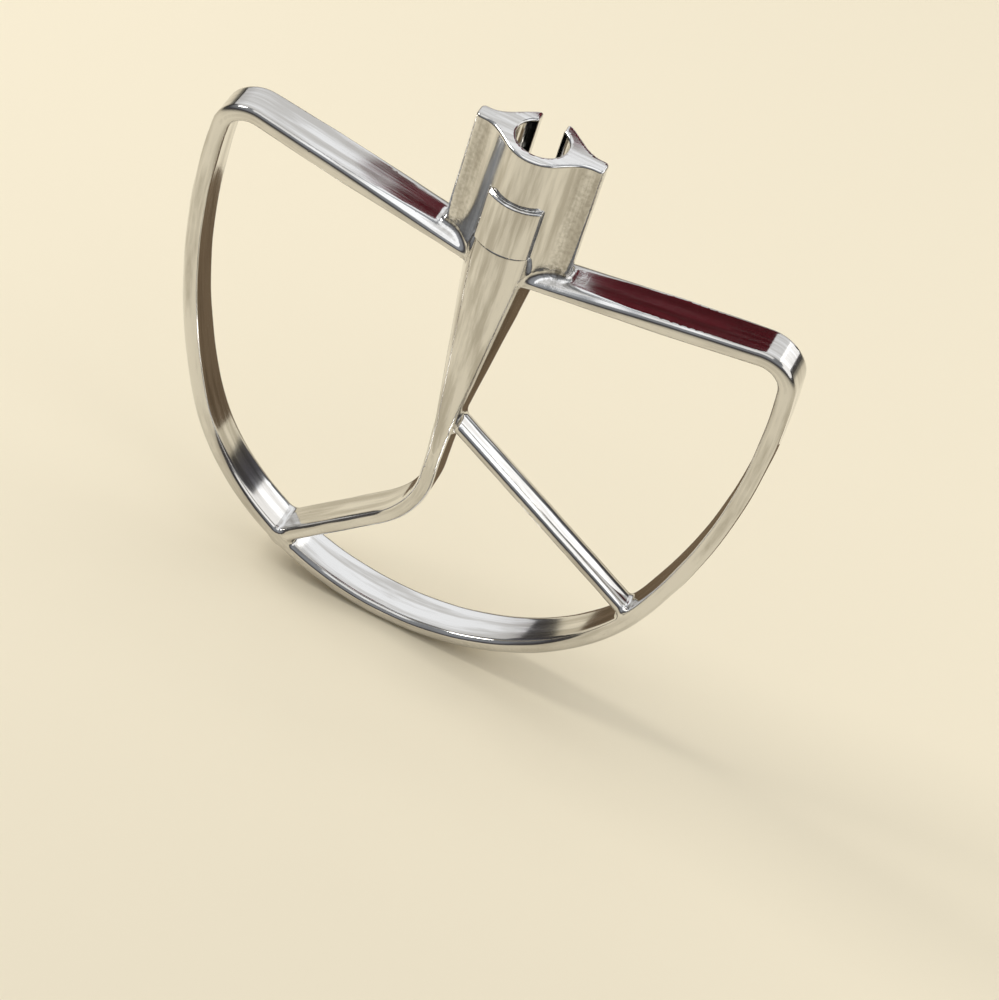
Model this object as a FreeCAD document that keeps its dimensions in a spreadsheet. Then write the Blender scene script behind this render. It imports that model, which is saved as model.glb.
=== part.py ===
import FreeCAD, Part
import math
import os
import Sketcher

# Flat beater for a stand mixer, cast in one piece, sizes in millimetres
# X runs across the beater, Y from front to back, Z up along the drive shaft
# it is drawn from the point where the middle lines of the two arms meet on the shaft axis
# and then set down so that the origin is the middle of the socket's mouth on top of the hub

vec = FreeCAD.Vector
doc = FreeCAD.newDocument("flatBeater")

sizes = {
    # frame bar and outline
    "halfWidth": 78.0,
    "barThick": 4.4,
    "rootDepth": 12.5,
    "tipDepth": 10.2,
    "edgeRound": 1.9,
    "armAngle": 9.4,
    "cornerRadius": 8.0,
    "sideRadius": 200.0,
    "sideFlare": 6.0,
    "frameDrop": 131.0,
    "apexRadius": 20.0,
    # round hub between two thin ribs
    "hubTop": 40.0,
    "hubRadius": 9.5,
    "hubRound": 0.8,
    "ribHalf": 16.6,
    "ribThick": 4.6,
    "ribRound": 1.3,
    "ribValley": 5.0,
    "ribFoot": 2.5,
    "bossRadius": 10.3,
    "bossTop": 10.5,
    # raised pad on the hub
    "padWidth": 14.2,
    "padTop": 25.6,
    "padProud": 1.25,
    "padCurve": 11.5,
    "padRound": 0.6,
    # tapered spindle below the hub
    "spindleTop": 3.0,
    "spindleTopHalf": 10.9,
    "spindleTopFace": 8.8,
    "spindleTopEdge": 5.0,
    "spindleEnd": 70.0,
    "spindleEndHalf": 2.05,
    "spindleEndFace": 1.3,
    "spindleEndEdge": 4.9,
    "spindleEndDepth": 5.5,
    "spindleRound": 0.7,
    # leg that bends off to the left
    "legRunUp": 12.0,
    "legThick": 4.2,
    "legDepth": 11.6,
    "legRound": 1.8,
    "legBendStart": 76.0,
    "legBendRadius": 31.0,
    "legAngle": 45.0,
    # strut to the lower right
    "strutDepth": 7.2,
    "strutThick": 4.3,
    "strutStart": 54.4,
    "strutAngle": 31.6,
    # cast blend at the strut and the leg
    "jointBlend": 1.5,
    # socket for the drive shaft and its pin
    "boreRadius": 6.4,
    "boreDepth": 33.0,
    "slotWidth": 6.4,
    "slotDrop": 17.0,
    "slotTurn": 3.0,
    "slotHookIn": 1.6,
}
# how far blanks and cutters run past the solid, and how far one form sinks into the next
spare = 5.0
sink = 1.0
# what counts as touching when the seams are looked for
touch = 0.001

sheet = doc.addObject("Spreadsheet::Sheet", "dims")
for row, (name, value) in enumerate(sizes.items(), start=1):
    sheet.set("A%d" % row, name)
    sheet.set("B%d" % row, str(value))
    sheet.setAlias("B%d" % row, name)
doc.recompute()


def size(name):
    return float(sheet.get(name))


def bind(obj, prop, text):
    # every plain name in the text is a size in the sheet
    obj.setExpression(prop, text)


def driven(sketch, kind, text, name, *where):
    # one named constraint of a sketch, tied to the sheet
    index = sketch.addConstraint(Sketcher.Constraint(kind, *where))
    sketch.renameConstraint(index, name)
    sketch.setExpression("Constraints." + name, text)


def point(sketch, geo, pos, xText, yText, name):
    # fixes one end point of a sketch line or arc by two bound distances
    place = sketch.getPoint(geo, pos)
    driven(sketch, "DistanceX", xText, name + "X", geo, pos, place.x)
    driven(sketch, "DistanceY", yText, name + "Y", geo, pos, place.y)


upright = FreeCAD.Placement(vec(0, 0, 0), FreeCAD.Rotation(vec(1, 0, 0), 90))

# middle line of the frame bar, worked out once from the sizes
thick = size("barThick")
armTilt = math.radians(size("armAngle"))
flare = -math.radians(size("sideFlare"))
cornerR = size("cornerRadius")
sideR = size("sideRadius")
bottomZ = -size("frameDrop")
armDir = (math.cos(armTilt), math.sin(armTilt))
armIn = (math.sin(armTilt), -math.cos(armTilt))
sideIn = (-math.cos(flare), math.sin(flare))
cornerX = size("halfWidth") - thick / 2 - cornerR
along = (cornerX - cornerR * armIn[0]) / armDir[0]
cornerC = (cornerX, along * armDir[1] + cornerR * armIn[1])
sideC = (cornerC[0] + (sideR - cornerR) * sideIn[0], cornerC[1] + (sideR - cornerR) * sideIn[1])
rise = sideC[1] - bottomZ
bottomR = (sideC[0] ** 2 + rise ** 2 - sideR ** 2) / (2 * (rise - sideR))
bottomC = (0.0, bottomZ + bottomR)
reach = math.hypot(sideC[0], bottomC[1] - sideC[1])
toBottom = ((bottomC[0] - sideC[0]) / reach, (bottomC[1] - sideC[1]) / reach)


def onCorner(radius, direction):
    return (cornerC[0] - radius * direction[0], cornerC[1] - radius * direction[1])


def onBottom(radius):
    return (bottomC[0] + radius * toBottom[0], bottomC[1] + radius * toBottom[1])


def arcOf(centre, radius, start, end):
    # arcs run anticlockwise from the start angle to the end angle
    a = math.atan2(start[1] - centre[1], start[0] - centre[0])
    b = math.atan2(end[1] - centre[1], end[0] - centre[0])
    circle = Part.Circle(vec(centre[0], centre[1], 0), vec(0, 0, 1), radius)
    return Part.ArcOfCircle(circle, a, b)


def lineOf(start, end):
    return Part.LineSegment(vec(start[0], start[1], 0), vec(end[0], end[1], 0))


def runTo(start, direction):
    # length of a straight run to the middle line of the frame, on its bottom arc or above on its side arc
    mirror = math.copysign(1.0, direction[0])
    for centre, radius in ((bottomC, bottomR), ((mirror * sideC[0], sideC[1]), sideR)):
        gap = (start[0] - centre[0], start[1] - centre[1])
        dot = gap[0] * direction[0] + gap[1] * direction[1]
        square = dot * dot - (gap[0] ** 2 + gap[1] ** 2 - radius ** 2)
        if square > 0:
            run = -dot + math.sqrt(square)
            if start[1] + run * direction[1] < onBottom(bottomR)[1]:
                break
    return run


# right half of the frame, from the axis along the arm and down to the bottom
half = thick / 2
apexR = size("apexRadius")
outArm = onCorner(cornerR + half, armIn)
outSide = onCorner(cornerR + half, sideIn)
inArm = onCorner(cornerR - half, armIn)
inSide = onCorner(cornerR - half, sideIn)
outJoin = onBottom(bottomR + half)
inJoin = onBottom(bottomR - half)
bottomOut = (0.0, bottomZ - half)
bottomIn = (0.0, bottomZ + half)
armTop = (0.0, half / math.cos(armTilt))
# apex arc under the hub, its middle on the axis
apexZ = -half / math.cos(armTilt) + apexR / math.cos(armTilt)
apexEnd = (apexR * armIn[0], apexZ + apexR * armIn[1])
apexLow = (0.0, apexZ - apexR)

frameSketch = doc.addObject("Sketcher::SketchObject", "frameSketch")
frameSketch.Placement = upright
for edge in (
        lineOf(armTop, outArm),
        arcOf(cornerC, cornerR + half, outSide, outArm),
        arcOf(sideC, sideR + half, outJoin, outSide),
        arcOf(bottomC, bottomR + half, bottomOut, outJoin),
        lineOf(bottomOut, bottomIn),
        arcOf(bottomC, bottomR - half, bottomIn, inJoin),
        arcOf(sideC, sideR - half, inJoin, inSide),
        arcOf(cornerC, cornerR - half, inSide, inArm),
        lineOf(inArm, apexEnd),
        arcOf((0.0, apexZ), apexR, apexLow, apexEnd),
        lineOf(apexLow, armTop)):
    frameSketch.addGeometry(edge, False)


def rule(*parts):
    frameSketch.addConstraint(Sketcher.Constraint(*parts))


# neighbours that run smoothly into each other
rule("Tangent", 0, 2, 1, 2)
rule("Tangent", 1, 1, 2, 2)
rule("Tangent", 2, 1, 3, 2)
rule("Tangent", 5, 2, 6, 1)
rule("Tangent", 6, 2, 7, 1)
rule("Tangent", 7, 2, 8, 1)
rule("Tangent", 8, 2, 9, 2)
# plain corners
rule("Coincident", 3, 1, 4, 1)
rule("Coincident", 4, 2, 5, 1)
rule("Coincident", 9, 1, 10, 1)
rule("Coincident", 10, 2, 0, 1)
# shared middles and points on the axis
rule("Coincident", 1, 3, 7, 3)
rule("Coincident", 2, 3, 6, 3)
rule("Coincident", 3, 3, 5, 3)
rule("PointOnObject", 0, 1, -2)
rule("PointOnObject", 4, 1, -2)
rule("PointOnObject", 4, 2, -2)
rule("PointOnObject", 9, 1, -2)
rule("PointOnObject", 3, 3, -2)
rule("PointOnObject", 9, 3, -2)
rule("Parallel", 0, 8)


driven(frameSketch, "Radius", "dims.cornerRadius + dims.barThick / 2", "cornerOutR", 1, cornerR + half)
driven(frameSketch, "Radius", "dims.cornerRadius - dims.barThick / 2", "cornerInR", 7, cornerR - half)
driven(frameSketch, "Radius", "dims.sideRadius + dims.barThick / 2", "sideOutR", 2, sideR + half)
driven(frameSketch, "Radius", "dims.apexRadius", "apexArcR", 9, apexR)
cornerText = "dims.halfWidth - dims.barThick / 2 - dims.cornerRadius"
driven(frameSketch, "DistanceX", cornerText, "cornerMidX", 1, 3, cornerX)
driven(frameSketch, "DistanceY", "-dims.frameDrop - dims.barThick / 2", "bottomZ", 4, 1, bottomZ - half)
driven(frameSketch, "Angle", "dims.armAngle * 1 deg", "armTilt", -1, 1, 0, 1, armTilt)
driven(frameSketch, "Distance", "dims.barThick / 2", "armOffset", -1, 1, 0, half)
sideText = "(dims.sideRadius - dims.cornerRadius) * sin(dims.sideFlare * 1 deg)"
driven(frameSketch, "DistanceY", sideText, "sideMidZ", 2, 3, 1, 3, cornerC[1] - sideC[1])
doc.recompute()

frameHalf = doc.addObject("Part::Extrusion", "frameHalf")
frameHalf.Base = frameSketch
frameHalf.DirMode = "Normal"
frameHalf.Solid = True
frameHalf.Symmetric = True
bind(frameHalf, "LengthFwd", "dims.rootDepth + %g" % (2 * spare))
frameOther = doc.addObject("Part::Mirroring", "frameOther")
frameOther.Source = frameHalf
frameOther.Base = vec(0, 0, 0)
frameOther.Normal = vec(1, 0, 0)
frameBlank = doc.addObject("Part::Fuse", "frameBlank")
frameBlank.Base = frameHalf
frameBlank.Tool = frameOther
frameBlank.Refine = True

# front and back faces bow a little, so the bar is deeper at the hub than at the corners
bow = "(dims.halfWidth ^ 2 + ((dims.rootDepth - dims.tipDepth) / 2) ^ 2) / (dims.rootDepth - dims.tipDepth)"
faces = []
for side, sign in (("faceFront", 1), ("faceBack", -1)):
    face = doc.addObject("Part::Cylinder", side)
    bind(face, "Radius", bow)
    bind(face, "Height", "dims.hubTop + dims.frameDrop + dims.barThick + %g" % (2 * spare))
    bind(face, "Placement.Base.y", "%d * (%s - dims.rootDepth / 2)" % (sign, bow))
    bind(face, "Placement.Base.z", "-dims.frameDrop - dims.barThick - %g" % spare)
    faces.append(face)
frameBowed = doc.addObject("Part::MultiCommon", "frameBowed")
frameBowed.Shapes = [frameBlank] + faces
doc.recompute()

# all edges of the two bowed faces are rounded
bowRadius = faces[0].Radius.Value
picked = set()
for face in frameBowed.Shape.Faces:
    surface = face.Surface
    if isinstance(surface, Part.Cylinder) and abs(surface.Radius - bowRadius) < touch:
        for edge in face.Edges:
            for number, other in enumerate(frameBowed.Shape.Edges, start=1):
                if edge.isSame(other):
                    picked.add(number)
frameRounded = doc.addObject("Part::Fillet", "frameRounded")
frameRounded.Base = frameBowed
rounding = size("edgeRound")
frameRounded.Edges = [(number, rounding, rounding) for number in sorted(picked)]
doc.recompute()


def rounded(name, base, radius, wanted):
    # a fillet on every edge of the base that the test picks
    fillet = doc.addObject("Part::Fillet", name)
    fillet.Base = base
    numbers = [number for number, edge in enumerate(base.Shape.Edges, start=1) if wanted(edge)]
    fillet.Edges = [(number, size(radius), size(radius)) for number in numbers]
    doc.recompute()
    return fillet


# round hub with a thin rib on each side, hollow where they meet
# both start inside the arms, half the bar's thickness above their crossing
hubBar = doc.addObject("Part::Cylinder", "hubBar")
bind(hubBar, "Radius", "dims.hubRadius")
bind(hubBar, "Height", "dims.hubTop - dims.barThick / 2")
bind(hubBar, "Placement.Base.z", "dims.barThick / 2")
ribBlock = doc.addObject("Part::Box", "ribBlock")
bind(ribBlock, "Length", "2 * dims.ribHalf")
bind(ribBlock, "Width", "dims.ribThick")
bind(ribBlock, "Height", "dims.hubTop - dims.barThick / 2")
bind(ribBlock, "Placement.Base.x", "-dims.ribHalf")
bind(ribBlock, "Placement.Base.y", "-dims.ribThick / 2")
bind(ribBlock, "Placement.Base.z", "dims.barThick / 2")
doc.recompute()
ribs = rounded("ribs", ribBlock, "ribRound", lambda edge: edge.BoundBox.ZLength > size("hubTop") / 2)
hubBlank = doc.addObject("Part::Fuse", "hubBlank")
hubBlank.Base = hubBar
hubBlank.Tool = ribs
doc.recompute()


def inValley(edge):
    # an upright edge where the rib's flat side meets the round hub
    box = edge.BoundBox
    reach = math.hypot(box.Center.x, box.Center.y)
    onHub = abs(reach - size("hubRadius")) < touch
    onRib = abs(abs(box.Center.y) - size("ribThick") / 2) < touch
    return box.ZLength > size("hubTop") / 2 and onHub and onRib


hubHollowed = rounded("hubHollowed", hubBlank, "ribValley", inValley)
hub = rounded("hub", hubHollowed, "hubRound", lambda edge: edge.BoundBox.ZMin > size("hubTop") - touch)

# boss below the hub
boss = doc.addObject("Part::Cylinder", "boss")
bind(boss, "Radius", "dims.bossRadius")
bind(boss, "Height", "dims.bossTop - dims.spindleTop + %g" % sink)
bind(boss, "Placement.Base.z", "dims.spindleTop - %g" % sink)

# raised pad on the front, its face gently round
padBlock = doc.addObject("Part::Box", "padBlock")
bind(padBlock, "Length", "dims.padWidth")
bind(padBlock, "Width", "dims.hubRadius + dims.padProud")
bind(padBlock, "Height", "dims.padTop - dims.bossTop + %g" % sink)
bind(padBlock, "Placement.Base.x", "-dims.padWidth / 2")
bind(padBlock, "Placement.Base.y", "-dims.hubRadius - dims.padProud")
bind(padBlock, "Placement.Base.z", "dims.bossTop - %g" % sink)
padFace = doc.addObject("Part::Cylinder", "padFace")
bind(padFace, "Radius", "dims.padCurve")
bind(padFace, "Height", "dims.padTop - dims.bossTop + %g" % (2 * spare))
bind(padFace, "Placement.Base.y", "dims.padCurve - dims.hubRadius - dims.padProud")
bind(padFace, "Placement.Base.z", "dims.bossTop - %g" % spare)
padRaw = doc.addObject("Part::Common", "padRaw")
padRaw.Base = padBlock
padRaw.Tool = padFace
doc.recompute()
# the edges round the pad's face lie wholly in front of its corners inside the hub
pad = rounded("pad", padRaw, "padRound", lambda edge: edge.BoundBox.YMax < -size("hubRadius") / 2)


# spindle section: widest at the middle plane, bevelled to a round front and back face
def spindleSection(name, level, names):
    sketch = doc.addObject("Sketcher::SketchObject", name)
    bind(sketch, "Placement.Base.z", level)
    wide, face, edge, depth = [size(item) for item in names]
    wideText, faceText, edgeText, depthText = ["dims." + item for item in names]
    sag = depth - edge
    radius = (face * face + sag * sag) / (2 * sag)
    turn = math.asin(face / radius)
    front = Part.Circle(vec(0, radius - depth, 0), vec(0, 0, 1), radius)
    back = Part.Circle(vec(0, depth - radius, 0), vec(0, 0, 1), radius)
    down = -math.pi / 2
    up = math.pi / 2
    sketch.addGeometry(lineOf((wide, 0), (face, edge)), False)
    sketch.addGeometry(Part.ArcOfCircle(back, up - turn, up + turn), False)
    sketch.addGeometry(lineOf((-face, edge), (-wide, 0)), False)
    sketch.addGeometry(lineOf((-wide, 0), (-face, -edge)), False)
    sketch.addGeometry(Part.ArcOfCircle(front, down - turn, down + turn), False)
    sketch.addGeometry(lineOf((face, -edge), (wide, 0)), False)
    for one in range(6):
        sketch.addConstraint(Sketcher.Constraint("Coincident", one, 2, (one + 1) % 6, 1))
    point(sketch, 0, 1, wideText, "0", "wideRight")
    point(sketch, 0, 2, faceText, edgeText, "faceRightBack")
    point(sketch, 2, 1, "-" + faceText, edgeText, "faceLeftBack")
    point(sketch, 2, 2, "-" + wideText, "0", "wideLeft")
    point(sketch, 4, 1, "-" + faceText, "-" + edgeText, "faceLeftFront")
    point(sketch, 5, 1, faceText, "-" + edgeText, "faceRightFront")
    sagText = "(%s - %s)" % (depthText, edgeText)
    radiusText = "(%s ^ 2 + %s ^ 2) / (2 * %s)" % (faceText, sagText, sagText)
    driven(sketch, "Radius", radiusText, "backR", 1, radius)
    driven(sketch, "Radius", radiusText, "frontR", 4, radius)
    return sketch


topNames = ("spindleTopHalf", "spindleTopFace", "spindleTopEdge", "bossRadius")
endNames = ("spindleEndHalf", "spindleEndFace", "spindleEndEdge", "spindleEndDepth")
topSection = spindleSection("spindleTopSketch", "dims.spindleTop", topNames)
endSection = spindleSection("spindleEndSketch", "-dims.spindleEnd", endNames)
doc.recompute()
spindleRaw = doc.addObject("Part::Loft", "spindleRaw")
spindleRaw.Sections = [topSection, endSection]
spindleRaw.Solid = True
spindleRaw.Ruled = True
doc.recompute()
# the long edges that run down the spindle are rounded
runsDown = size("spindleEnd") / 2
spindle = rounded("spindle", spindleRaw, "spindleRound", lambda edge: edge.BoundBox.ZLength > runsDown)

# leg: straight down, one bend to the left, then straight into the frame
bendR = size("legBendRadius")
bendTurn = math.radians(90 - size("legAngle"))
bendZ = -size("legBendStart")
bendC = (-bendR, bendZ)
bendEnd = (bendC[0] + bendR * math.cos(bendTurn), bendC[1] - bendR * math.sin(bendTurn))
legDir = (-math.sin(bendTurn), -math.cos(bendTurn))
legRun = runTo(bendEnd, legDir)
legEnd = (bendEnd[0] + legRun * legDir[0], bendEnd[1] + legRun * legDir[1])
legStart = (0.0, -size("spindleEnd") + size("legRunUp"))

legPath = doc.addObject("Sketcher::SketchObject", "legPath")
legPath.Placement = upright
legPath.addGeometry(lineOf(legStart, (0.0, bendZ)), False)
bendCircle = Part.Circle(vec(bendC[0], bendC[1], 0), vec(0, 0, 1), bendR)
legPath.addGeometry(Part.ArcOfCircle(bendCircle, -bendTurn, 0), False)
legPath.addGeometry(lineOf(bendEnd, legEnd), False)
legPath.addConstraint(Sketcher.Constraint("Tangent", 0, 2, 1, 2))
legPath.addConstraint(Sketcher.Constraint("Tangent", 1, 1, 2, 1))
legPath.addConstraint(Sketcher.Constraint("PointOnObject", 0, 1, -2))
legPath.addConstraint(Sketcher.Constraint("Vertical", 0))
legSlope = math.radians(-180 + size("legAngle"))
driven(legPath, "DistanceY", "-dims.spindleEnd + dims.legRunUp", "legTop", 0, 1, legStart[1])
driven(legPath, "DistanceY", "-dims.legBendStart", "bendTop", 0, 2, bendZ)
driven(legPath, "Radius", "dims.legBendRadius", "bendRadius", 1, bendR)
driven(legPath, "Angle", "(-180 + dims.legAngle) * 1 deg", "legSlope", 2, legSlope)
legPath.addConstraint(Sketcher.Constraint("Distance", 2, legRun))

legSection = doc.addObject("Sketcher::SketchObject", "legSection")
bind(legSection, "Placement.Base.z", "-dims.spindleEnd + dims.legRunUp")
legX = size("legThick") / 2
legY = size("legDepth") / 2
legR = size("legRound")
for signX, signY, turn in ((1, 1, 0), (-1, 1, 90), (-1, -1, 180), (1, -1, 270)):
    circle = Part.Circle(vec(signX * (legX - legR), signY * (legY - legR), 0), vec(0, 0, 1), legR)
    a = math.radians(turn)
    legSection.addGeometry(Part.ArcOfCircle(circle, a, a + math.pi / 2), False)
legSection.addGeometry(lineOf((legX - legR, legY), (legR - legX, legY)), False)
legSection.addGeometry(lineOf((-legX, legY - legR), (-legX, legR - legY)), False)
legSection.addGeometry(lineOf((legR - legX, -legY), (legX - legR, -legY)), False)
legSection.addGeometry(lineOf((legX, legR - legY), (legX, legY - legR)), False)
for arc, line, nextArc in ((0, 4, 1), (1, 5, 2), (2, 6, 3), (3, 7, 0)):
    legSection.addConstraint(Sketcher.Constraint("Tangent", arc, 2, line, 1))
    legSection.addConstraint(Sketcher.Constraint("Tangent", line, 2, nextArc, 1))
flatX = "(dims.legThick / 2 - dims.legRound)"
flatY = "(dims.legDepth / 2 - dims.legRound)"
for geo, sx, sy in ((0, "", ""), (1, "-", ""), (2, "-", "-"), (3, "", "-")):
    point(legSection, geo, 3, sx + flatX, sy + flatY, "mid%d" % geo)
    driven(legSection, "Radius", "dims.legRound", "round%d" % geo, geo, legR)
doc.recompute()
leg = doc.addObject("Part::Sweep", "leg")
leg.Sections = [legSection]
leg.Spine = (legPath, ["Edge1", "Edge2", "Edge3"])
leg.Solid = True
leg.Frenet = False
doc.recompute()

# strut: an oval rod from the spindle to the lower right of the frame
strutTilt = math.radians(size("strutAngle"))
strutDir = (math.cos(strutTilt), -math.sin(strutTilt))
strutRun = runTo((0.0, -size("strutStart")), strutDir)
strutOval = doc.addObject("Part::Ellipse", "strutOval")
bind(strutOval, "MajorRadius", "dims.strutDepth / 2")
bind(strutOval, "MinorRadius", "dims.strutThick / 2")
# the oval's long axis goes to the depth, its normal along the strut
strutAlong = vec(strutDir[0], 0, strutDir[1])
strutAcross = vec(0, 1, 0)
turned = FreeCAD.Rotation(strutAcross, strutAlong.cross(strutAcross), strutAlong, "ZXY")
strutOval.Placement = FreeCAD.Placement(vec(0, 0, -size("strutStart")), turned)
bind(strutOval, "Placement.Base.z", "-dims.strutStart")
strut = doc.addObject("Part::Extrusion", "strut")
strut.Base = strutOval
strut.DirMode = "Custom"
strut.Dir = strutAlong
strut.LengthFwd = strutRun
strut.Solid = True
doc.recompute()

whole = doc.addObject("Part::MultiFuse", "whole")
whole.Shapes = [frameRounded, hub, boss, pad, spindle, leg, strut]
whole.Refine = True
doc.recompute()


# cast blends where the ribs, the strut and the leg run into what they join
def seam(one, other):
    # a test for edges that lie on the skins of both pieces
    room = one.Shape.BoundBox.intersected(other.Shape.BoundBox)
    room.enlarge(sink)
    skins = [Part.Compound(piece.Shape.Faces) for piece in (one, other)]

    def lies(edge):
        if not room.isInside(edge.BoundBox):
            return False
        run = edge.LastParameter - edge.FirstParameter
        spots = [Part.Vertex(edge.valueAt(edge.FirstParameter + run * part)) for part in (0.2, 0.5, 0.8)]
        return all(spot.distToShape(skin)[0] < touch for spot in spots for skin in skins)

    return lies


footed = rounded("footed", whole, "ribFoot", seam(hub, frameRounded))
joints = [seam(strut, frameRounded), seam(strut, spindle), seam(leg, frameRounded)]
blended = rounded("blended", footed, "jointBlend", lambda edge: any(joint(edge) for joint in joints))
print("blended edges", len(footed.Edges), len(blended.Edges))

# shaft socket, open at the top, with a hooked slot for the drive pin at the back
bore = doc.addObject("Part::Cylinder", "bore")
bind(bore, "Radius", "dims.boreRadius")
bind(bore, "Height", "dims.boreDepth + %g" % spare)
bind(bore, "Placement.Base.z", "dims.hubTop - dims.boreDepth")
slotDown = doc.addObject("Part::Box", "slotDown")
bind(slotDown, "Length", "dims.slotWidth")
bind(slotDown, "Width", "dims.bossRadius + %g" % spare)
bind(slotDown, "Height", "dims.slotDrop + %g" % spare)
bind(slotDown, "Placement.Base.x", "-dims.slotWidth / 2")
bind(slotDown, "Placement.Base.z", "dims.hubTop - dims.slotDrop")
slotHook = doc.addObject("Part::Box", "slotHook")
bind(slotHook, "Length", "dims.slotWidth / 2 + dims.slotTurn")
bind(slotHook, "Width", "dims.bossRadius + %g" % spare)
bind(slotHook, "Height", "dims.slotWidth")
bind(slotHook, "Placement.Base.y", "dims.slotHookIn")
bind(slotHook, "Placement.Base.z", "dims.hubTop - dims.slotDrop")

# each hollow is taken out on its own, one after the other
bored = doc.addObject("Part::Cut", "bored")
bored.Base = blended
bored.Tool = bore
slotted = doc.addObject("Part::Cut", "slotted")
slotted.Base = bored
slotted.Tool = slotDown
beater = doc.addObject("Part::Cut", "beater")
beater.Base = slotted
beater.Tool = slotHook
beater.Refine = True
beater.Label = "flat_beater"
# the finished part hangs from the mouth of its socket
bind(beater, "Placement.Base.z", "-dims.hubTop")
doc.recompute()

problems = []
for cut, blank in ((bored, blended), (slotted, bored), (beater, slotted)):
    if cut.Shape.isNull() or cut.Shape.Volume > blank.Shape.Volume - sink:
        problems.append(cut.Name + " took nothing away")
for obj in doc.Objects:
    if "Invalid" in obj.State or "Error" in obj.State:
        problems.append("%s %s" % (obj.Name, obj.State))
if problems:
    raise RuntimeError("objects in error: " + ", ".join(problems))

os.makedirs("parts", exist_ok=True)
for node in (beater,):
    shape = node.Shape
    if shape.isNull() or not shape.isValid() or len(shape.Solids) != 1:
        raise RuntimeError("bad shape in " + node.Label)
    shape.exportStep("parts/%s.step" % node.Label)
    box = shape.BoundBox
    print(node.Label, "volume %.0f" % shape.Volume)
    print("box x %.1f y %.1f z %.1f to %.1f" % (box.XLength, box.YLength, box.ZMin, box.ZMax))
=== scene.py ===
import math

import bpy
import numpy as np
from mathutils import Matrix, Vector


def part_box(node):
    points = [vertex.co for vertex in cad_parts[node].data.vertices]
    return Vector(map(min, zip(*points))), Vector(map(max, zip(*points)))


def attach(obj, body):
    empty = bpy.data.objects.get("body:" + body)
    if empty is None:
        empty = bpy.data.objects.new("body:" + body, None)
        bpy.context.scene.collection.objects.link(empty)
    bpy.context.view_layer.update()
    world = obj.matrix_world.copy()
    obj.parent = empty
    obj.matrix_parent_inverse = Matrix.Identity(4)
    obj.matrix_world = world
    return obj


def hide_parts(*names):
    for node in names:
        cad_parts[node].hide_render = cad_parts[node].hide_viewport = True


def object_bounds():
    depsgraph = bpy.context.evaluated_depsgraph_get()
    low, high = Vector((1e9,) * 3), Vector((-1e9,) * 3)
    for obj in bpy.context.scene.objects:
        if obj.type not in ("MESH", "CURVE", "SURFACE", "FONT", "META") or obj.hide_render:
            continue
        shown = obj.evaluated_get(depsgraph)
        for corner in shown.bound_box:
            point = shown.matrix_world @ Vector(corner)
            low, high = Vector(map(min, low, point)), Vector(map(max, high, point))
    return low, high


# Flat beater for a stand mixer, one polished steel casting, in metres
mm = 0.001
# keeps a division by a length from failing where that length is nothing
tiny = 1e-6
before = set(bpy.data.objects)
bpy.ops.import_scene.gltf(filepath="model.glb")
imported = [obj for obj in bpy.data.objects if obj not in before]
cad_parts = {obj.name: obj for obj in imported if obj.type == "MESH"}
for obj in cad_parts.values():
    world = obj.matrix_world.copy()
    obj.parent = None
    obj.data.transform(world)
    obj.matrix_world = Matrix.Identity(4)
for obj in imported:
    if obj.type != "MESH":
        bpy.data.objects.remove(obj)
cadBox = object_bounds()
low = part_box("flat_beater")[0]
print("frame loaded, lowest point", round(low.z, 4))


def linear(hexColour):
    # sRGB hex value to the linear colour that the nodes take
    parts = [int(hexColour[i:i + 2], 16) / 255 for i in (1, 3, 5)]
    return tuple(c / 12.92 if c <= 0.04045 else ((c + 0.055) / 1.055) ** 2.4 for c in parts) + (1.0,)


def addNode(tree, kind, settings=None, inputs=None):
    # one node, its own settings, and values or links for its sockets
    node = tree.nodes.new(kind)
    for name, value in (settings or {}).items():
        setattr(node, name, value)
    for name, value in (inputs or {}).items():
        if isinstance(value, bpy.types.NodeSocket):
            tree.links.new(value, node.inputs[name])
        else:
            node.inputs[name].default_value = value
    return node


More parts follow.
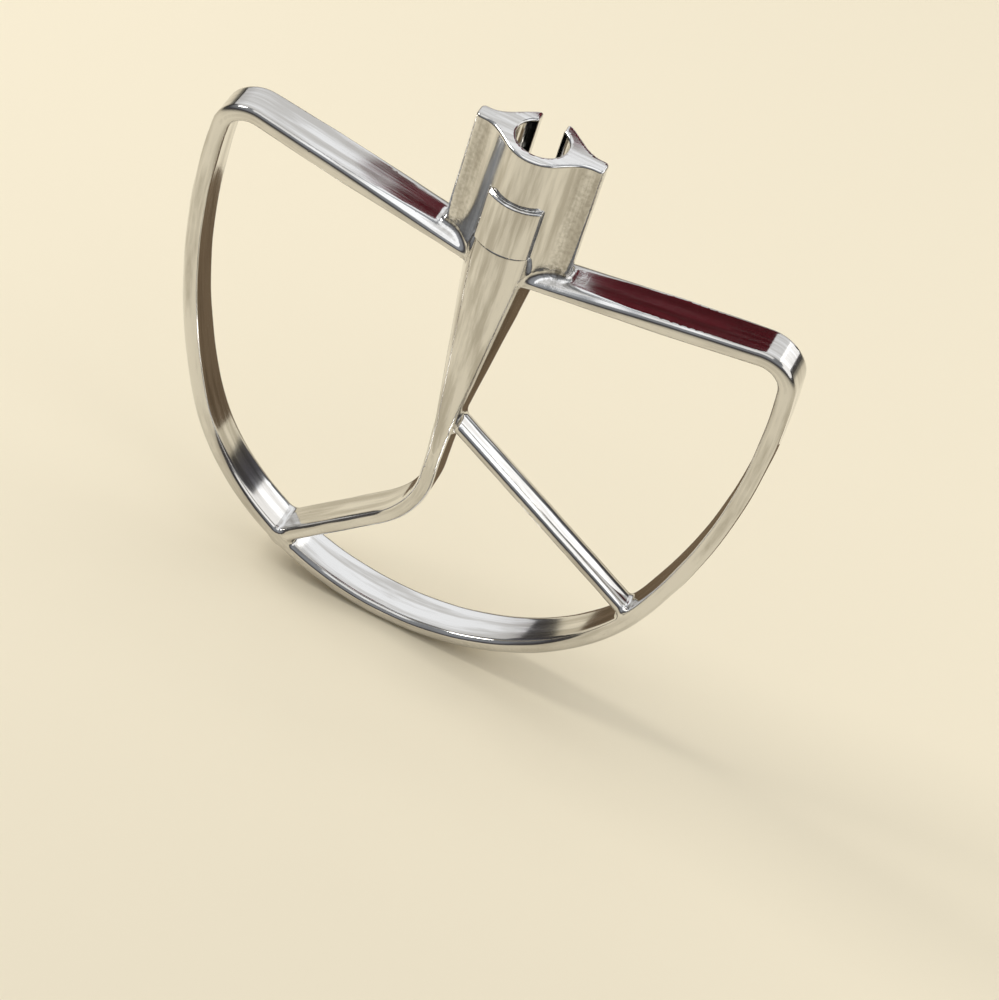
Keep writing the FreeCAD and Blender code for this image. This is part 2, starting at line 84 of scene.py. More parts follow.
# the casting in millimetres, drawn from the point where the arms cross below the hub
casting = {
    # frame bar and its outline
    "halfWidth": 78.0,
    "barThick": 4.4,
    "rootDepth": 12.5,
    "tipDepth": 10.2,
    "armAngle": 9.4,
    "cornerRadius": 8.0,
    "sideRadius": 200.0,
    "sideFlare": 6.0,
    "frameDrop": 131.0,
    # edges of the bar: how far the arms' wider shoulders reach from the middle, the power they fall off by,
    # the levels between which the sides' edge turns into the arms', and the inner part of an edge's oval
    # that has no direction
    "edgeRound": 1.9,
    "armEdge": 1.25,
    "armShoulder": 3.4,
    "shoulderReach": (11.0, 44.0),
    "shoulderFall": 1.5,
    "sideToArm": (-40.0, -20.0),
    "innerCore": 0.05,
    # round hub between two thin ribs
    "hubTop": 40.0,
    "hubRadius": 9.5,
    "hubRound": 0.8,
    "ribHalf": 16.6,
    "ribThick": 4.6,
    "ribRound": 1.3,
    "ribValley": 5.0,
    "ribFoot": 1.8,
    # raised pad on the front of the hub
    "padWidth": 14.2,
    "padTop": 25.6,
    "padProud": 1.25,
    "padCurve": 11.5,
    "padRound": 0.5,
    "padSeam": 0.15,
    # boss, whose upper edge is flat in the middle and falls off beside that, and tapered spindle,
    # half width, half face, edge depth and full depth at its two ends
    "bossTop": 10.5,
    "bossRound": 0.9,
    "bossFlat": 6.9,
    "bossFall": 24.0,
    "armSeam": 0.45,
    "spindleTop": 3.0,
    "spindleEnd": 70.0,
    "topSection": (10.9, 8.8, 5.0, 10.3),
    "endSection": (2.05, 1.3, 4.9, 5.5),
    "spindleRound": 1.5,
    # leg that bends off to the left, the levels between which its wider seam with the spindle sets in,
    # and the distance over which the frame's depth passes into its own
    "legTop": 58.0,
    "legThick": 4.2,
    "legDepth": 11.6,
    "legBendStart": 76.0,
    "legBendRadius": 31.0,
    "legAngle": 45.0,
    "legSeam": 1.5,
    "seamChange": (-45.0, -30.0),
    "frameToLeg": 6.0,
    # oval strut to the lower right
    "strutDepth": 7.2,
    "strutThick": 4.3,
    "strutStart": 54.4,
    "strutAngle": 31.6,
    "jointBlend": 1.4,
    # socket and hooked slot for the drive pin
    "boreRadius": 6.4,
    "boreDepth": 33.0,
    "slotWidth": 6.4,
    "slotDrop": 17.0,
    "slotTurn": 3.0,
    "slotHookIn": 1.6,
    "cutRound": 0.7,
    # hand polishing leaves the faces faintly wavy
    "waveHeight": 0.014,
    "waveLength": 13.0,
    "waveSpread": (0.7, 1.5),
    "waveCount": 7,
    "waveSeed": 11,
    # net that the surface is drawn on: its margin round the part, how often its points are drawn in and how
    # far at most each time, the smallest squared slope of the field that this trusts, the step that slopes
    # are taken over, the net's spacing, and the stretches along each axis where it is finer
    "netMargin": 2.0,
    "netTurns": 4,
    "netPull": 0.4,
    "netSlope": 0.2,
    "probe": 0.02,
    "netStep": (0.9, 0.57, 0.9),
    "netFine": (
        ((-18.0, -9.0, 0.47), (-9.0, 9.0, 0.36), (9.0, 18.0, 0.47), (45.0, 58.0, 0.53)),
        ((-12.6, -7.85, 0.34),),
        ((-98.0, -84.0, 0.53), (1.0, 8.0, 0.44), (8.0, 28.0, 0.36), (28.0, 42.0, 0.45))),
}


def ramp(value, first, last):
    # from 0 at the first value to 1 at the last
    return np.clip((value - first) / (last - first), 0.0, 1.0)


def frameLines():
    # middle lines of the bars in the plane of the frame, right half: arm, corner, side arc and bottom arc,
    # each arc tangent to the next, then the leg's two runs and bend, each with the length of bar before it,
    # and the strut
    c = casting
    tilt = math.radians(c["armAngle"])
    flare = -math.radians(c["sideFlare"])
    corner, side = c["cornerRadius"], c["sideRadius"]
    armIn = np.array((math.sin(tilt), -math.cos(tilt)))
    sideIn = np.array((-math.cos(flare), math.sin(flare)))
    cornerX = c["halfWidth"] - c["barThick"] / 2 - corner
    along = (cornerX - corner * armIn[0]) / math.cos(tilt)
    cornerMid = np.array((cornerX, along * math.sin(tilt) + corner * armIn[1]))
    sideMid = cornerMid + (side - corner) * sideIn
    rise = sideMid[1] + c["frameDrop"]
    bottom = (sideMid[0] ** 2 + rise ** 2 - side ** 2) / (2 * (rise - side))
    bottomMid = np.array((0.0, bottom - c["frameDrop"]))
    join = bottomMid - sideMid
    turns = [math.atan2(v[1], v[0]) for v in (-armIn, -sideIn, join)]
    bend = c["legBendRadius"]
    bendMid = np.array((-bend, -c["legBendStart"]))
    swing = math.radians(90 - c["legAngle"])
    bendEnd = bendMid + bend * np.array((math.cos(swing), -math.sin(swing)))
    legWay = np.array((-math.sin(swing), -math.cos(swing)))
    slope = math.radians(c["strutAngle"])
    strutFrom = np.array((0.0, -c["strutStart"]))
    strutWay = np.array((math.cos(slope), -math.sin(slope)))

    def reach(start, way):
        # length of a straight run to the bottom arc
        gap = start - bottomMid
        dot = gap @ way
        return -dot + math.sqrt(dot * dot - gap @ gap + bottom * bottom)

    armEnd = cornerMid - corner * armIn
    toCorner = math.hypot(*armEnd)
    toSide = toCorner + corner * (turns[0] - turns[1])
    toBottom = toSide + side * (turns[1] - turns[2])
    toBend = c["legBendStart"] - c["legTop"]
    return {
        "arm": (np.zeros(2), armEnd, 0.0),
        "corner": (cornerMid, corner, turns[1], turns[0], toCorner),
        "side": (sideMid, side, turns[2], turns[1], toSide),
        "bottom": (bottomMid, bottom, -math.pi / 2, turns[2], toBottom),
        "legDown": (np.array((0.0, -c["legTop"])), np.array((0.0, -c["legBendStart"])), 0.0),
        "legBend": (bendMid, bend, -swing, 0.0, toBend),
        "legOut": (bendEnd, bendEnd + reach(bendEnd, legWay) * legWay, toBend + bend * swing),
        "strut": (strutFrom, strutWay, reach(strutFrom, strutWay)),
    }


lines = frameLines()


def alongRun(x, z, start, end, before):
    # distance to a straight run and place along it: the point is dropped onto it and kept between its ends
    way = end - start
    part = np.clip(((x - start[0]) * way[0] + (z - start[1]) * way[1]) / (way @ way), 0.0, 1.0)
    gap = np.hypot(x - start[0] - part * way[0], z - start[1] - part * way[1])
    return gap, before + part * math.hypot(*way)


def alongArc(x, z, middle, radius, first, last, before):
    # distance to an arc and place along it: the point's angle about the centre is kept between its ends
    half = (last - first) / 2
    turn = np.arctan2(z - middle[1], x - middle[0]) - first - half
    turn = np.clip((turn + math.pi) % (2 * math.pi) - math.pi, -half, half) + first + half
    gap = np.hypot(x - middle[0] - radius * np.cos(turn), z - middle[1] - radius * np.sin(turn))
    return gap, before + (last - turn) * radius


def nearest(*measures):
    # the smallest of several distances, with its place along
    gap, along = measures[0]
    for nextGap, nextAlong in measures[1:]:
        along = np.where(nextGap < gap, nextAlong, along)
        gap = np.minimum(gap, nextGap)
    return gap, along


def ringLine(side, z):
    return nearest(
        alongRun(side, z, *lines["arm"]),
        alongArc(side, z, *lines["corner"]),
        alongArc(side, z, *lines["side"]),
        alongArc(side, z, *lines["bottom"]))


def legLine(x, z):
    return nearest(
        alongRun(x, z, *lines["legDown"]),
        alongArc(x, z, *lines["legBend"]),
        alongRun(x, z, *lines["legOut"]))


def joined(one, other, radius):
    # union of two distances, with a fillet of this radius in the inner corner
    rest = np.maximum(radius, np.minimum(one, other))
    return rest - np.hypot(np.maximum(radius - one, 0.0), np.maximum(radius - other, 0.0))


def common(one, other, radius):
    # what two distances share, with the outer edge rounded by this radius
    return -joined(-one, -other, radius)


def roundedBar(across, deep, halfThick, halfDepth, rounding, shoulder):
    # section of a bar whose corners are quarter ovals, as thick as the rounding and as deep as the shoulder:
    # the point is scaled by the oval's half axes, and how far it lies past one is scaled back;
    # deep inside, where that has no direction, the plain distance to the faces does
    a = across - halfThick
    b = np.abs(deep) - halfDepth
    u = np.maximum(a / rounding + 1.0, 0.0)
    v = np.maximum(b / shoulder + 1.0, 0.0)
    whole = np.hypot(u, v)
    slope = np.hypot(u / rounding, v / shoulder) + tiny
    return np.where(whole > casting["innerCore"], whole * (whole - 1.0) / slope, np.maximum(a, b))


def flatBars(x, y, z):
    # frame and leg, filleted into each other in plan and then given their depth,
    # which on the frame falls off from the hub to the corners along a wide arc;
    # the shoulders of the arms are wide at the hub and soon narrow towards the corners
    c = casting
    side = np.abs(x)
    ring = ringLine(side, z)[0] - c["barThick"] / 2
    leg = legLine(x, z)[0] - c["legThick"] / 2
    plan = joined(ring, leg, c["jointBlend"])
    drop = (c["rootDepth"] - c["tipDepth"]) / 2
    bow = (c["halfWidth"] ** 2 + drop ** 2) / (2 * drop)
    ringDepth = c["rootDepth"] / 2 - bow + np.sqrt(bow * bow - side * side)
    share = np.clip((ring - leg) / c["frameToLeg"] + 0.5, 0.0, 1.0)
    depth = ringDepth + (c["legDepth"] / 2 - ringDepth) * share
    first, last = c["shoulderReach"]
    wider = c["armShoulder"] * ramp(side, last, first) ** c["shoulderFall"]
    onArm = ramp(z, *c["sideToArm"])
    shoulder = c["edgeRound"] + (c["armEdge"] + wider - c["edgeRound"]) * onArm
    return roundedBar(plan + c["barThick"] / 2, y, c["barThick"] / 2, depth, c["edgeRound"], shoulder)


def hubBody(x, y, z):
    # circle and rib in plan with a hollow fillet between them, carried up to the rounded top;
    # below, it stops at the arms' middle lines
    c = casting
    rib = roundedBar(np.abs(x), y, c["ribHalf"], c["ribThick"] / 2, c["ribRound"], c["ribRound"])
    plan = joined(np.hypot(x, y) - c["hubRadius"], rib, c["ribValley"])
    tilt = math.radians(c["armAngle"])
    foot = np.abs(x) * math.sin(tilt) - z * math.cos(tilt)
    return np.maximum(common(plan, z - c["hubTop"], c["hubRound"]), foot)


def padBody(x, y, z):
    # upright block with a round front face
    c = casting
    front = np.hypot(x, y + c["hubRadius"] + c["padProud"] - c["padCurve"]) - c["padCurve"]
    plan = common(front, np.abs(x) - c["padWidth"] / 2, c["padRound"])
    level = np.abs(z - (c["padTop"] + c["bossTop"]) / 2) - (c["padTop"] - c["bossTop"]) / 2
    return np.maximum(common(plan, level, c["padRound"]), y)


def spindleBody(x, y, z):
    # section of two round faces and four bevels, its four sizes changing evenly from the top to the end;
    # above its top it runs on unchanged as the boss, whose upper edge falls away to both sides with the
    # square of the distance
    c = casting
    part = np.clip((c["spindleTop"] - z) / (c["spindleTop"] + c["spindleEnd"]), 0.0, 1.0)
    wide, face, edge, depth = [a + (b - a) * part for a, b in zip(c["topSection"], c["endSection"])]
    sag = depth - edge
    radius = (face * face + sag * sag) / (2 * sag)
    bowed = np.hypot(x, np.abs(y) - depth + radius) - radius
    slant = np.hypot(edge, wide - face)
    front = ((np.abs(x) - wide) * edge - y * (wide - face)) / slant
    back = ((np.abs(x) - wide) * edge + y * (wide - face)) / slant
    plan = common(bowed, common(front, back, c["spindleRound"]), c["spindleRound"])
    past = np.maximum(np.abs(x) - c["bossFlat"], 0.0) / (c["topSection"][0] - c["bossFlat"])
    fall = 2 * c["bossFall"] * past / (c["topSection"][0] - c["bossFlat"])
    level = (z - c["bossTop"] + c["bossFall"] * past * past) / np.sqrt(1 + fall * fall)
    body = common(plan, level, c["bossRound"])
    return np.maximum(body, -c["spindleEnd"] - z)


def strutLine(x, z):
    # offset from the strut's middle line and place along it
    start, way = lines["strut"][:2]
    dx, dz = x - start[0], z - start[1]
    return dz * way[0] - dx * way[1], dx * way[0] + dz * way[1]


def strutBody(x, y, z):
    # oval rod: distance from its middle line, scaled by the oval's half axes
    c = casting
    run = lines["strut"][2]
    across, along = strutLine(x, z)
    a, b = c["strutThick"] / 2, c["strutDepth"] / 2
    whole = np.sqrt((across / a) ** 2 + (y / b) ** 2)
    slope = np.sqrt((across / a ** 2) ** 2 + (y / b ** 2) ** 2) + tiny
    return np.maximum(whole * (whole - 1.0) / slope, np.maximum(-along, along - run))


def socketHollow(x, y, z):
    # bore from the top, and a slot down the back wall with a hook to one side
    c = casting
    bore = np.maximum(np.hypot(x, y) - c["boreRadius"], c["hubTop"] - c["boreDepth"] - z)
    half = c["slotWidth"] / 2
    floor = c["hubTop"] - c["slotDrop"]
    slot = np.maximum(np.maximum(np.abs(x) - half, -y), floor - z)
    hookHalf = (half + c["slotTurn"]) / 2
    hook = np.maximum(np.abs(x - hookHalf) - hookHalf, np.abs(z - floor - half) - half)
    hook = np.maximum(hook, c["slotHookIn"] - y)
    return np.minimum(bore, np.minimum(slot, hook))


waveSource = np.random.default_rng(casting["waveSeed"])
waveWays = waveSource.normal(size=(casting["waveCount"], 3))
waveWays /= np.linalg.norm(waveWays, axis=1)[:, None]
waveShifts = waveSource.uniform(0.0, 2 * math.pi, casting["waveCount"])
waveScales = waveSource.uniform(*casting["waveSpread"], casting["waveCount"])


def polishWave(x, y, z):
    # a few long waves that cross in different directions
    total = 0.0
    for way, shift, scale in zip(waveWays, waveShifts, waveScales):
        turn = 2 * math.pi / (casting["waveLength"] * scale)
        total = total + np.sin(turn * (x * way[0] + y * way[1] + z * way[2]) + shift)
    return casting["waveHeight"] * total


def beaterField(x, y, z):
    # signed distance of the whole casting, below zero in the metal
    c = casting
    # the ribs stand on the arms with a wide foot
    body = joined(flatBars(x, y, z), hubBody(x, y, z), c["ribFoot"])
    # the arms run into the spindle with a small fillet, and the leg leaves it with a wider one
    seam = c["legSeam"] + (c["armSeam"] - c["legSeam"]) * ramp(z, *c["seamChange"])
    body = joined(body, spindleBody(x, y, z), seam)
    body = joined(body, padBody(x, y, z), c["padSeam"])
    body = joined(body, strutBody(x, y, z), c["jointBlend"])
    body = body + polishWave(x, y, z)
    return common(body, -socketHollow(x, y, z), c["cutRound"])


def slopeOf(points):
    # gradient of the field from its values a little to each side
    d = casting["probe"]
    shift = np.eye(3) * d
    parts = [beaterField(*(points + s).T) - beaterField(*(points - s).T) for s in shift]
    return np.stack(parts, axis=1) / (2 * d)


def netSurface(field, ticks):
    # one point in each cell that the surface crosses, at the mean of its edge crossings,
    # and one face round each grid edge that changes sign
    inside = field < 0
    sizes = np.array(field.shape) - 1
    corners = [(i, j, k) for i in (0, 1) for j in (0, 1) for k in (0, 1)]
    spans = [tuple(slice(s, n + s) for s, n in zip(start, sizes)) for start in corners]
    count = sum(inside[span].astype(np.int8) for span in spans)
    cells = np.argwhere((count > 0) & (count < len(corners)))
    number = np.full(sizes, -1, dtype=np.int64)
    number[tuple(cells.T)] = np.arange(len(cells))
    total = np.zeros((len(cells), 3))
    crossings = np.zeros(len(cells))
    for axis in range(3):
        for start in [np.array(n) for n in corners if n[axis] == 0]:
            end = start + np.eye(3, dtype=int)[axis]
            a = field[tuple((cells + start).T)]
            b = field[tuple((cells + end).T)]
            cross = (a < 0) != (b < 0)
            part = np.where(cross, a / np.where(cross, a - b, 1.0), 0.0)
            spot = start + part[:, None] * (end - start)
            total += spot * cross[:, None]
            crossings += cross
    place = cells + total / crossings[:, None]
    points = np.stack([np.interp(place[:, i], np.arange(len(t)), t) for i, t in enumerate(ticks)], axis=1)
    faces = []
    for axis in range(3):
        u, v = (axis + 1) % 3, (axis + 2) % 3
        one = [slice(None)] * 3
        two = [slice(None)] * 3
        one[axis], two[axis] = slice(0, -1), slice(1, None)
        a, b = inside[tuple(one)], inside[tuple(two)]
        for enters, order in ((a & ~b, (0, 1, 2, 3)), (~a & b, (3, 2, 1, 0))):
            edge = np.argwhere(enters)
            around = np.repeat(edge[:, None, :], 4, axis=1)
            around[:, (0, 3), u] -= 1
            around[:, (0, 1), v] -= 1
            faces.append(number[tuple(around.reshape(-1, 3).T)].reshape(-1, 4)[:, order])
    return points, np.concatenate(faces)


def netTicks(lowest, highest, step, fine):
    # grid lines of one axis, each stretch divided evenly into steps no wider than its own
    stretches = []
    start = lowest
    for first, last, fineStep in fine:
        stretches += [(start, max(first, start), step), (max(first, start), last, fineStep)]
        start = last
    stretches.append((start, highest, step))
    parts = [np.linspace(a, b, math.ceil((b - a) / s) + 1)[:-1] for a, b, s in stretches if b > a]
    return np.append(np.concatenate(parts), highest)


def castingMesh():
    # the field is read on a grid round the part, netted, and the points are drawn onto the surface
    c = casting
    edges = np.array(cadBox) / mm + np.array((0.0, 0.0, c["hubTop"]))
    lowest, highest = edges[0] - c["netMargin"], edges[1] + c["netMargin"]
    ticks = [netTicks(*ends) for ends in zip(lowest, highest, c["netStep"], c["netFine"])]
    field = beaterField(ticks[0][:, None, None], ticks[1][None, :, None], ticks[2][None, None, :])
    points, faces = netSurface(field, ticks)
    for turn in range(c["netTurns"]):
        slope = slopeOf(points)
        move = beaterField(*points.T) / np.maximum((slope * slope).sum(axis=1), c["netSlope"])
        points = points - np.clip(move, -c["netPull"], c["netPull"])[:, None] * slope
    normals = slopeOf(points)
    normals /= np.linalg.norm(normals, axis=1)[:, None]
    return points, faces, normals


# hub and spindle count as one bar, and the hub's top face is polished across
polish = {
    "coreSeam": 0.1,
    "topBand": 0.5,
}


def polishWay(points):
    # place along and across the bar that each point belongs to, in millimetres, for the polishing marks
    c = casting
    x, y, z = points.T
    ringGap, ringAlong = ringLine(np.abs(x), z)
    legGap, legAlong = legLine(x, z)
    strutGap, strutAlong = strutLine(x, z)
    core = joined(hubBody(x, y, z), spindleBody(x, y, z), polish["coreSeam"])
    ring = np.maximum(ringGap - c["barThick"] / 2, np.abs(y) - c["rootDepth"] / 2)
    leg = np.maximum(legGap - c["legThick"] / 2, np.abs(y) - c["legDepth"] / 2)
    distances = np.stack((core, ring, leg, strutBody(x, y, z)))
    onTop = (z > c["hubTop"] - polish["topBand"])[:, None]
    choices = np.stack((
        np.where(onTop, np.stack((x, y, z), axis=1), np.stack((z, x, y), axis=1)),
        np.stack((ringAlong, ringGap, y), axis=1),
        np.stack((legAlong, legGap, y), axis=1),
        np.stack((strutAlong, strutGap, y), axis=1)))
    return choices[distances.argmin(axis=0), np.arange(len(x))]


# cast skin left by the polishing wheel, in millimetres: where it sets in from the middle, above the arms and
# below the hub's top, and a patch at each rib's foot with its place, its reach each way and its strength
# on the left and the right
ribSkin = {
    "fromMiddle": (10.5, 12.5),
    "fromArm": (0.0, 1.5),
    "fromTop": (-0.8, -2.3),
    "strength": 0.35,
    "footSide": 14.0,
    "footLevel": 1.0,
    "footReach": (4.0, 6.0, 2.2),
    "footStrength": (0.5, 1.0),
}


def castSkin(points):
    # how much of the cast skin is left, from none to whole
    s = ribSkin
    x, y, z = points.T
    side = np.abs(x)
    above = z - side * math.tan(math.radians(casting["armAngle"])) - casting["barThick"] / 2
    onRib = ramp(side, *s["fromMiddle"]) * ramp(above, *s["fromArm"])
    onRib = onRib * ramp(z - casting["hubTop"], *s["fromTop"])
    reachX, reachY, reachZ = s["footReach"]
    out, up = (side - s["footSide"]) / reachX, (above - s["footLevel"]) / reachZ
    onFoot = np.exp(-out ** 2 - up ** 2 - (y / reachY) ** 2)
    left, right = s["footStrength"]
    return np.clip(s["strength"] * onRib + np.where(x > 0, right, left) * onFoot, 0.0, 1.0)


def polishedBeater():
    points, faces, normals = castingMesh()
    place = (points - np.array((0.0, 0.0, casting["hubTop"]))) * mm
    edges = np.array(cadBox)
    place = np.clip(place, edges[0], edges[1])
    mesh = bpy.data.meshes.new("polishedBeater")
    mesh.vertices.add(len(place))
    mesh.vertices.foreach_set("co", place.ravel())
    mesh.loops.add(faces.size)
    mesh.loops.foreach_set("vertex_index", faces.ravel().astype(np.int32))
    mesh.polygons.add(len(faces))
    mesh.polygons.foreach_set("loop_start", np.arange(0, faces.size, 4, dtype=np.int32))
    mesh.update(calc_edges=True)
    mesh.validate()
    mesh.polygons.foreach_set("use_smooth", np.ones(len(mesh.polygons), dtype=bool))
    mesh.normals_split_custom_set_from_vertices(normals.tolist())
    way = mesh.attributes.new("polishWay", "FLOAT_VECTOR", "POINT")
    way.data.foreach_set("vector", polishWay(points).ravel())
    skin = mesh.attributes.new("castSkin", "FLOAT", "POINT")
    skin.data.foreach_set("value", castSkin(points))
    mesh.update()
    piece = bpy.data.objects.new("polishedBeater", mesh)
    bpy.context.scene.collection.objects.link(piece)
    print("casting drawn,", len(place), "points,", 2 * len(faces), "triangles")
    return piece


# cast stainless steel, ground and polished bright by hand: a neutral mirror with faint polishing lines along
# each bar, small pits, and the grainy cast skin left where the wheel can't reach, at the feet of the ribs;
# lengths in millimetres, noise as detail and roughness, spans as the part of the noise that is used
steel = {
    "colours": ("#bab7b2", "#dfdedc"),
    "streakLength": 45.0,
    "streakWidth": 3.2,
    "streakNoise": (4.0, 0.62),
    "streakSpan": (0.36, 0.6),
    # real lines are finer, drawn this coarse to show
    "lineLength": 26.0,
    "linePitch": 0.7,
    "lineNoise": (3.0, 0.6),
    "lineSpan": (0.3, 0.7),
    "lineDepth": 0.0012,
    "roughness": (0.07, 0.15),
    "pitSpacing": 7.0,
    "pitSize": 0.35,
    "pitDepth": 0.03,
    "grain": 1.0,
    "grainDetail": 2.0,
    "grainDepth": 0.16,
    "skinColour": "#8f8b84",
    "skinSpan": (0.38, 0.58),
    "skinRoughness": 0.3,
}
# sockets of a colour Mix node: its two colours and its result
mixFirst, mixSecond, mixResult = 6, 7, 2


def polishedSteel():
    s = steel
    material = bpy.data.materials.new("polishedCastSteel")
    material.use_nodes = True
    tree = material.node_tree
    shader = tree.nodes["Principled BSDF"]
    shader.inputs["Metallic"].default_value = 1.0
    way = addNode(tree, "ShaderNodeAttribute", {"attribute_name": "polishWay"})
    skin = addNode(tree, "ShaderNodeAttribute", {"attribute_name": "castSkin"})
    place = addNode(tree, "ShaderNodeTexCoord")

    def drawnNoise(length, width, noise):
        # noise drawn out along the bar
        stretch = (1 / length, 1 / width, 1 / width)
        drawn = addNode(tree, "ShaderNodeVectorMath", {"operation": "MULTIPLY"}, {
            0: way.outputs["Vector"], 1: stretch})
        return addNode(tree, "ShaderNodeTexNoise", None, {
            "Vector": drawn.outputs[0], "Scale": 1.0, "Detail": noise[0], "Roughness": noise[1]})

    def relief(height, depth, below=None, inverted=False):
        # one layer of relief on the one below, its depth given to the node in metres
        inputs = {"Height": height, "Strength": 1.0, "Distance": depth * mm}
        if below is not None:
            inputs["Normal"] = below.outputs["Normal"]
        return addNode(tree, "ShaderNodeBump", {"invert": inverted}, inputs)

    marks = drawnNoise(s["lineLength"], s["linePitch"], s["lineNoise"])
    # small pits of the casting, at the middles of the cells of a Voronoi pattern
    cells = addNode(tree, "ShaderNodeTexVoronoi", None, {
        "Vector": place.outputs["Object"], "Scale": 1 / (s["pitSpacing"] * mm)})
    pit = addNode(tree, "ShaderNodeMapRange", {"interpolation_type": "SMOOTHSTEP"}, {
        "Value": cells.outputs["Distance"], "From Min": 0.0, "From Max": s["pitSize"] / s["pitSpacing"],
        "To Min": 1.0, "To Max": 0.0})
    # cast grain
    grain = addNode(tree, "ShaderNodeTexNoise", None, {
        "Vector": place.outputs["Object"], "Scale": 1 / (s["grain"] * mm), "Detail": s["grainDetail"]})
    rough = addNode(tree, "ShaderNodeMath", {"operation": "MULTIPLY"}, {
        0: grain.outputs["Fac"], 1: skin.outputs["Fac"]})
    # colour: broad faint streaks along the bar, and dark hollows in the cast skin
    streak = drawnNoise(s["streakLength"], s["streakWidth"], s["streakNoise"])
    tone = addNode(tree, "ShaderNodeMapRange", {"interpolation_type": "SMOOTHSTEP"}, {
        "Value": streak.outputs["Fac"], "From Min": s["streakSpan"][0], "From Max": s["streakSpan"][1]})
    metal = addNode(tree, "ShaderNodeMix", {"data_type": "RGBA"}, {
        "Factor": tone.outputs["Result"],
        mixFirst: linear(s["colours"][0]), mixSecond: linear(s["colours"][1])})
    hollow = addNode(tree, "ShaderNodeMapRange", None, {
        "Value": grain.outputs["Fac"], "From Min": s["skinSpan"][0], "From Max": s["skinSpan"][1],
        "To Min": 1.0, "To Max": 0.0})
    depth = addNode(tree, "ShaderNodeMath", {"operation": "MULTIPLY"}, {
        0: hollow.outputs["Result"], 1: skin.outputs["Fac"]})
    colour = addNode(tree, "ShaderNodeMix", {"data_type": "RGBA"}, {
        "Factor": depth.outputs[0],
        mixFirst: metal.outputs[mixResult], mixSecond: linear(s["skinColour"])})
    tree.links.new(colour.outputs[mixResult], shader.inputs["Base Color"])
    # roughness: from the lines, and more on the cast skin
    shine = addNode(tree, "ShaderNodeMapRange", None, {
        "Value": marks.outputs["Fac"], "From Min": s["lineSpan"][0], "From Max": s["lineSpan"][1],
        "To Min": s["roughness"][0], "To Max": s["roughness"][1]})
    dull = addNode(tree, "ShaderNodeMix", {"data_type": "FLOAT"}, {
        "Factor": skin.outputs["Fac"], "A": shine.outputs["Result"], "B": s["skinRoughness"]})
    tree.links.new(dull.outputs["Result"], shader.inputs["Roughness"])
    # relief: lines, then pits, then grain
    lineRelief = relief(marks.outputs["Fac"], s["lineDepth"])
    pitRelief = relief(pit.outputs["Result"], s["pitDepth"], lineRelief, inverted=True)
    grainRelief = relief(rough.outputs[0], s["grainDepth"], pitRelief)
    tree.links.new(grainRelief.outputs["Normal"], shader.inputs["Normal"])
    return material


beater = polishedBeater()
beater.data.materials.append(polishedSteel())
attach(beater, "root")
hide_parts("flat_beater")
print("steel on the casting")

# camera at the photograph's angle, sizes in millimetres, angles in radians
view = {
    "turn": 0.145,
    "rise": 0.808,
    "roll": 0.348,
    "distance": 777.157,
    "focalPixels": 3000.0,
    "target": (19.257, 0.0, -116.196),
    "imageSize": (999, 1000),
    # nearest and farthest that it sees, in metres
    "clip": (0.05, 50.0),
}


def setCamera():
    turn, rise, roll = view["turn"], view["rise"], view["roll"]
    back = Vector((math.cos(rise) * math.sin(turn), -math.cos(rise) * math.cos(turn), math.sin(rise)))
    level = Vector((math.cos(turn), math.sin(turn), 0.0))
    upright = back.cross(level)
    right = level * math.cos(roll) + upright * math.sin(roll)
    up = upright * math.cos(roll) - level * math.sin(roll)
    data = bpy.data.cameras.new("photoCamera")
    data.sensor_fit = "AUTO"
    data.lens = data.sensor_width * view["focalPixels"] / max(view["imageSize"])
    data.clip_start, data.clip_end = view["clip"]
    camera = bpy.data.objects.new("photoCamera", data)
    spot = (Vector(view["target"]) + back * view["distance"]) * mm
    axes = Matrix((right, up, back)).transposed()
    camera.matrix_world = Matrix.Translation(spot) @ axes.to_4x4()
    bpy.context.scene.collection.objects.link(camera)
    bpy.context.scene.camera = camera


setCamera()
print("camera set")

# plain pale floor, soft boxes, two cards that only the metal shows and a pale room with a dim horizon
stage = {
    "floorColour": "#eee2c7",
    "floorSize": 6.0,
    "floorGap": 0.0002,
    # finish of the floor and the cards
    "paperRoughness": 0.9,
    "paperShine": 0.1,
    # leaning card: its lean in degrees, and its corners in its own plane, rightwards and down, in metres
    "cardLean": 45.0,
    "cardMiddle": (0.0, 0.082, 0.048),
    "cardOutline": (
        (-0.040, 0.004), (-0.029, -0.0005), (-0.0175, -0.0094), (-0.008, -0.013), (0.010, -0.012),
        (0.056, -0.010), (0.075, 0.036), (-0.0175, 0.036), (-0.0185, 0.0105)),
    "cardColour": "#6e1d2e",
    # corners of the second card, which lies on the floor behind the part
    "lowCardOutline": ((-0.040, 0.048), (0.190, 0.030), (0.200, 0.125), (-0.045, 0.125)),
    "lowCardColour": "#6f5d47",
    # brightness of the room by height, from the floor's edge to straight up
    "room": ((0.0, "#625e58"), (0.2, "#57555a"), (0.42, "#a2a5aa"), (1.0, "#b4b8be")),
    "roomStrength": 0.8,
}


def stageSheet(name, points, colour):
    mesh = bpy.data.meshes.new(name)
    mesh.from_pydata(points, [], [tuple(range(len(points)))])
    sheet = bpy.data.objects.new(name, mesh)
    bpy.context.scene.collection.objects.link(sheet)
    material = bpy.data.materials.new(name + "Paper")
    material.use_nodes = True
    shader = material.node_tree.nodes["Principled BSDF"]
    shader.inputs["Base Color"].default_value = linear(colour)
    shader.inputs["Roughness"].default_value = stage["paperRoughness"]
    shader.inputs["Specular IOR Level"].default_value = stage["paperShine"]
    mesh.materials.append(material)
    return sheet


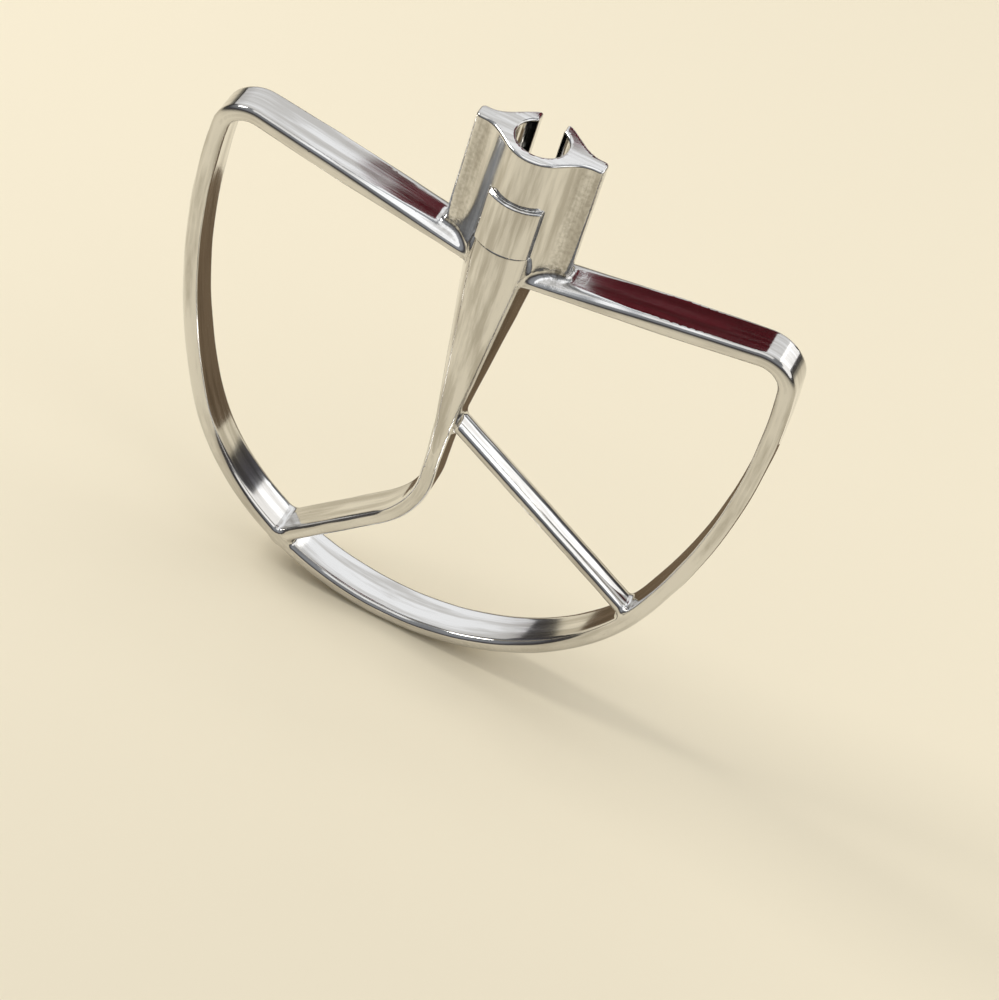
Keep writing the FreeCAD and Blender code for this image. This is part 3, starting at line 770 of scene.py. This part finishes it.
def floorPlane():
    half = stage["floorSize"] / 2
    z = low.z - stage["floorGap"]
    corners = [(-half, -half, z), (half, -half, z), (half, half, z), (-half, half, z)]
    stageSheet("floor", corners, stage["floorColour"])


def reflectorCard(name, points, colour):
    # a card seen only in the metal, as a photographer's flag is
    card = stageSheet(name, points, colour)
    card.visible_camera = False
    card.visible_shadow = False
    card.visible_diffuse = False


def placeCards():
    # a pointed one leaning behind the hub, and a brown one on the floor that stands in for shade behind the
    # part and darkens the flanks in their reflection
    x, y, z = stage["cardMiddle"]
    lean = math.radians(stage["cardLean"])
    leaning = [(x + a, y + math.cos(lean) * b, z - math.sin(lean) * b) for a, b in stage["cardOutline"]]
    reflectorCard("leaningCard", leaning, stage["cardColour"])
    lying = [(a, b, low.z + stage["floorGap"]) for a, b in stage["lowCardOutline"]]
    reflectorCard("lyingCard", lying, stage["lowCardColour"])


# soft boxes, where they stand and what they face, in metres
lamps = {
    "key": {"spot": (-0.62, 0.0, 0.55), "aim": (0.0, 0.0, -0.14), "size": (0.26, 0.26), "watts": 3.4},
    "behind": {"spot": (-0.12, 0.68, 0.4), "aim": (0.0, 0.0, 0.0), "size": (1.35, 0.85), "watts": 2.7},
    "overhead": {"spot": (0.0, -0.12, 0.95), "aim": (0.0, 0.0, -0.1), "size": (0.8, 1.05), "watts": 2.6},
    "right": {"spot": (0.565, 0.095, 0.245), "aim": (0.03, 0.0, -0.11), "size": (1.05, 0.36), "watts": 1.7},
}


def softBox(name, spot, aim, size, watts):
    data = bpy.data.lights.new(name, "AREA")
    data.shape = "RECTANGLE"
    data.size, data.size_y = size
    data.energy = watts
    lamp = bpy.data.objects.new(name, data)
    lamp.location = spot
    lamp.rotation_euler = (Vector(aim) - Vector(spot)).to_track_quat("-Z", "Y").to_euler()
    lamp.visible_camera = False
    bpy.context.scene.collection.objects.link(lamp)


def room():
    world = bpy.data.worlds.new("room")
    bpy.context.scene.world = world
    world.use_nodes = True
    tree = world.node_tree
    background = tree.nodes["Background"]
    way = addNode(tree, "ShaderNodeTexCoord")
    height = addNode(tree, "ShaderNodeSeparateXYZ", None, {0: way.outputs["Generated"]})
    shades = addNode(tree, "ShaderNodeValToRGB", None, {"Fac": height.outputs["Z"]})
    stops = shades.color_ramp.elements
    for i, (level, colour) in enumerate(stage["room"]):
        stop = stops[i] if i < len(stops) else stops.new(level)
        stop.position = level
        stop.color = linear(colour)
    tree.links.new(shades.outputs["Color"], background.inputs["Color"])
    background.inputs["Strength"].default_value = stage["roomStrength"]


floorPlane()
placeCards()
for name, lamp in lamps.items():
    softBox(name, **lamp)
room()
bpy.context.scene.view_settings.view_transform = "Standard"
print("stage and light set")
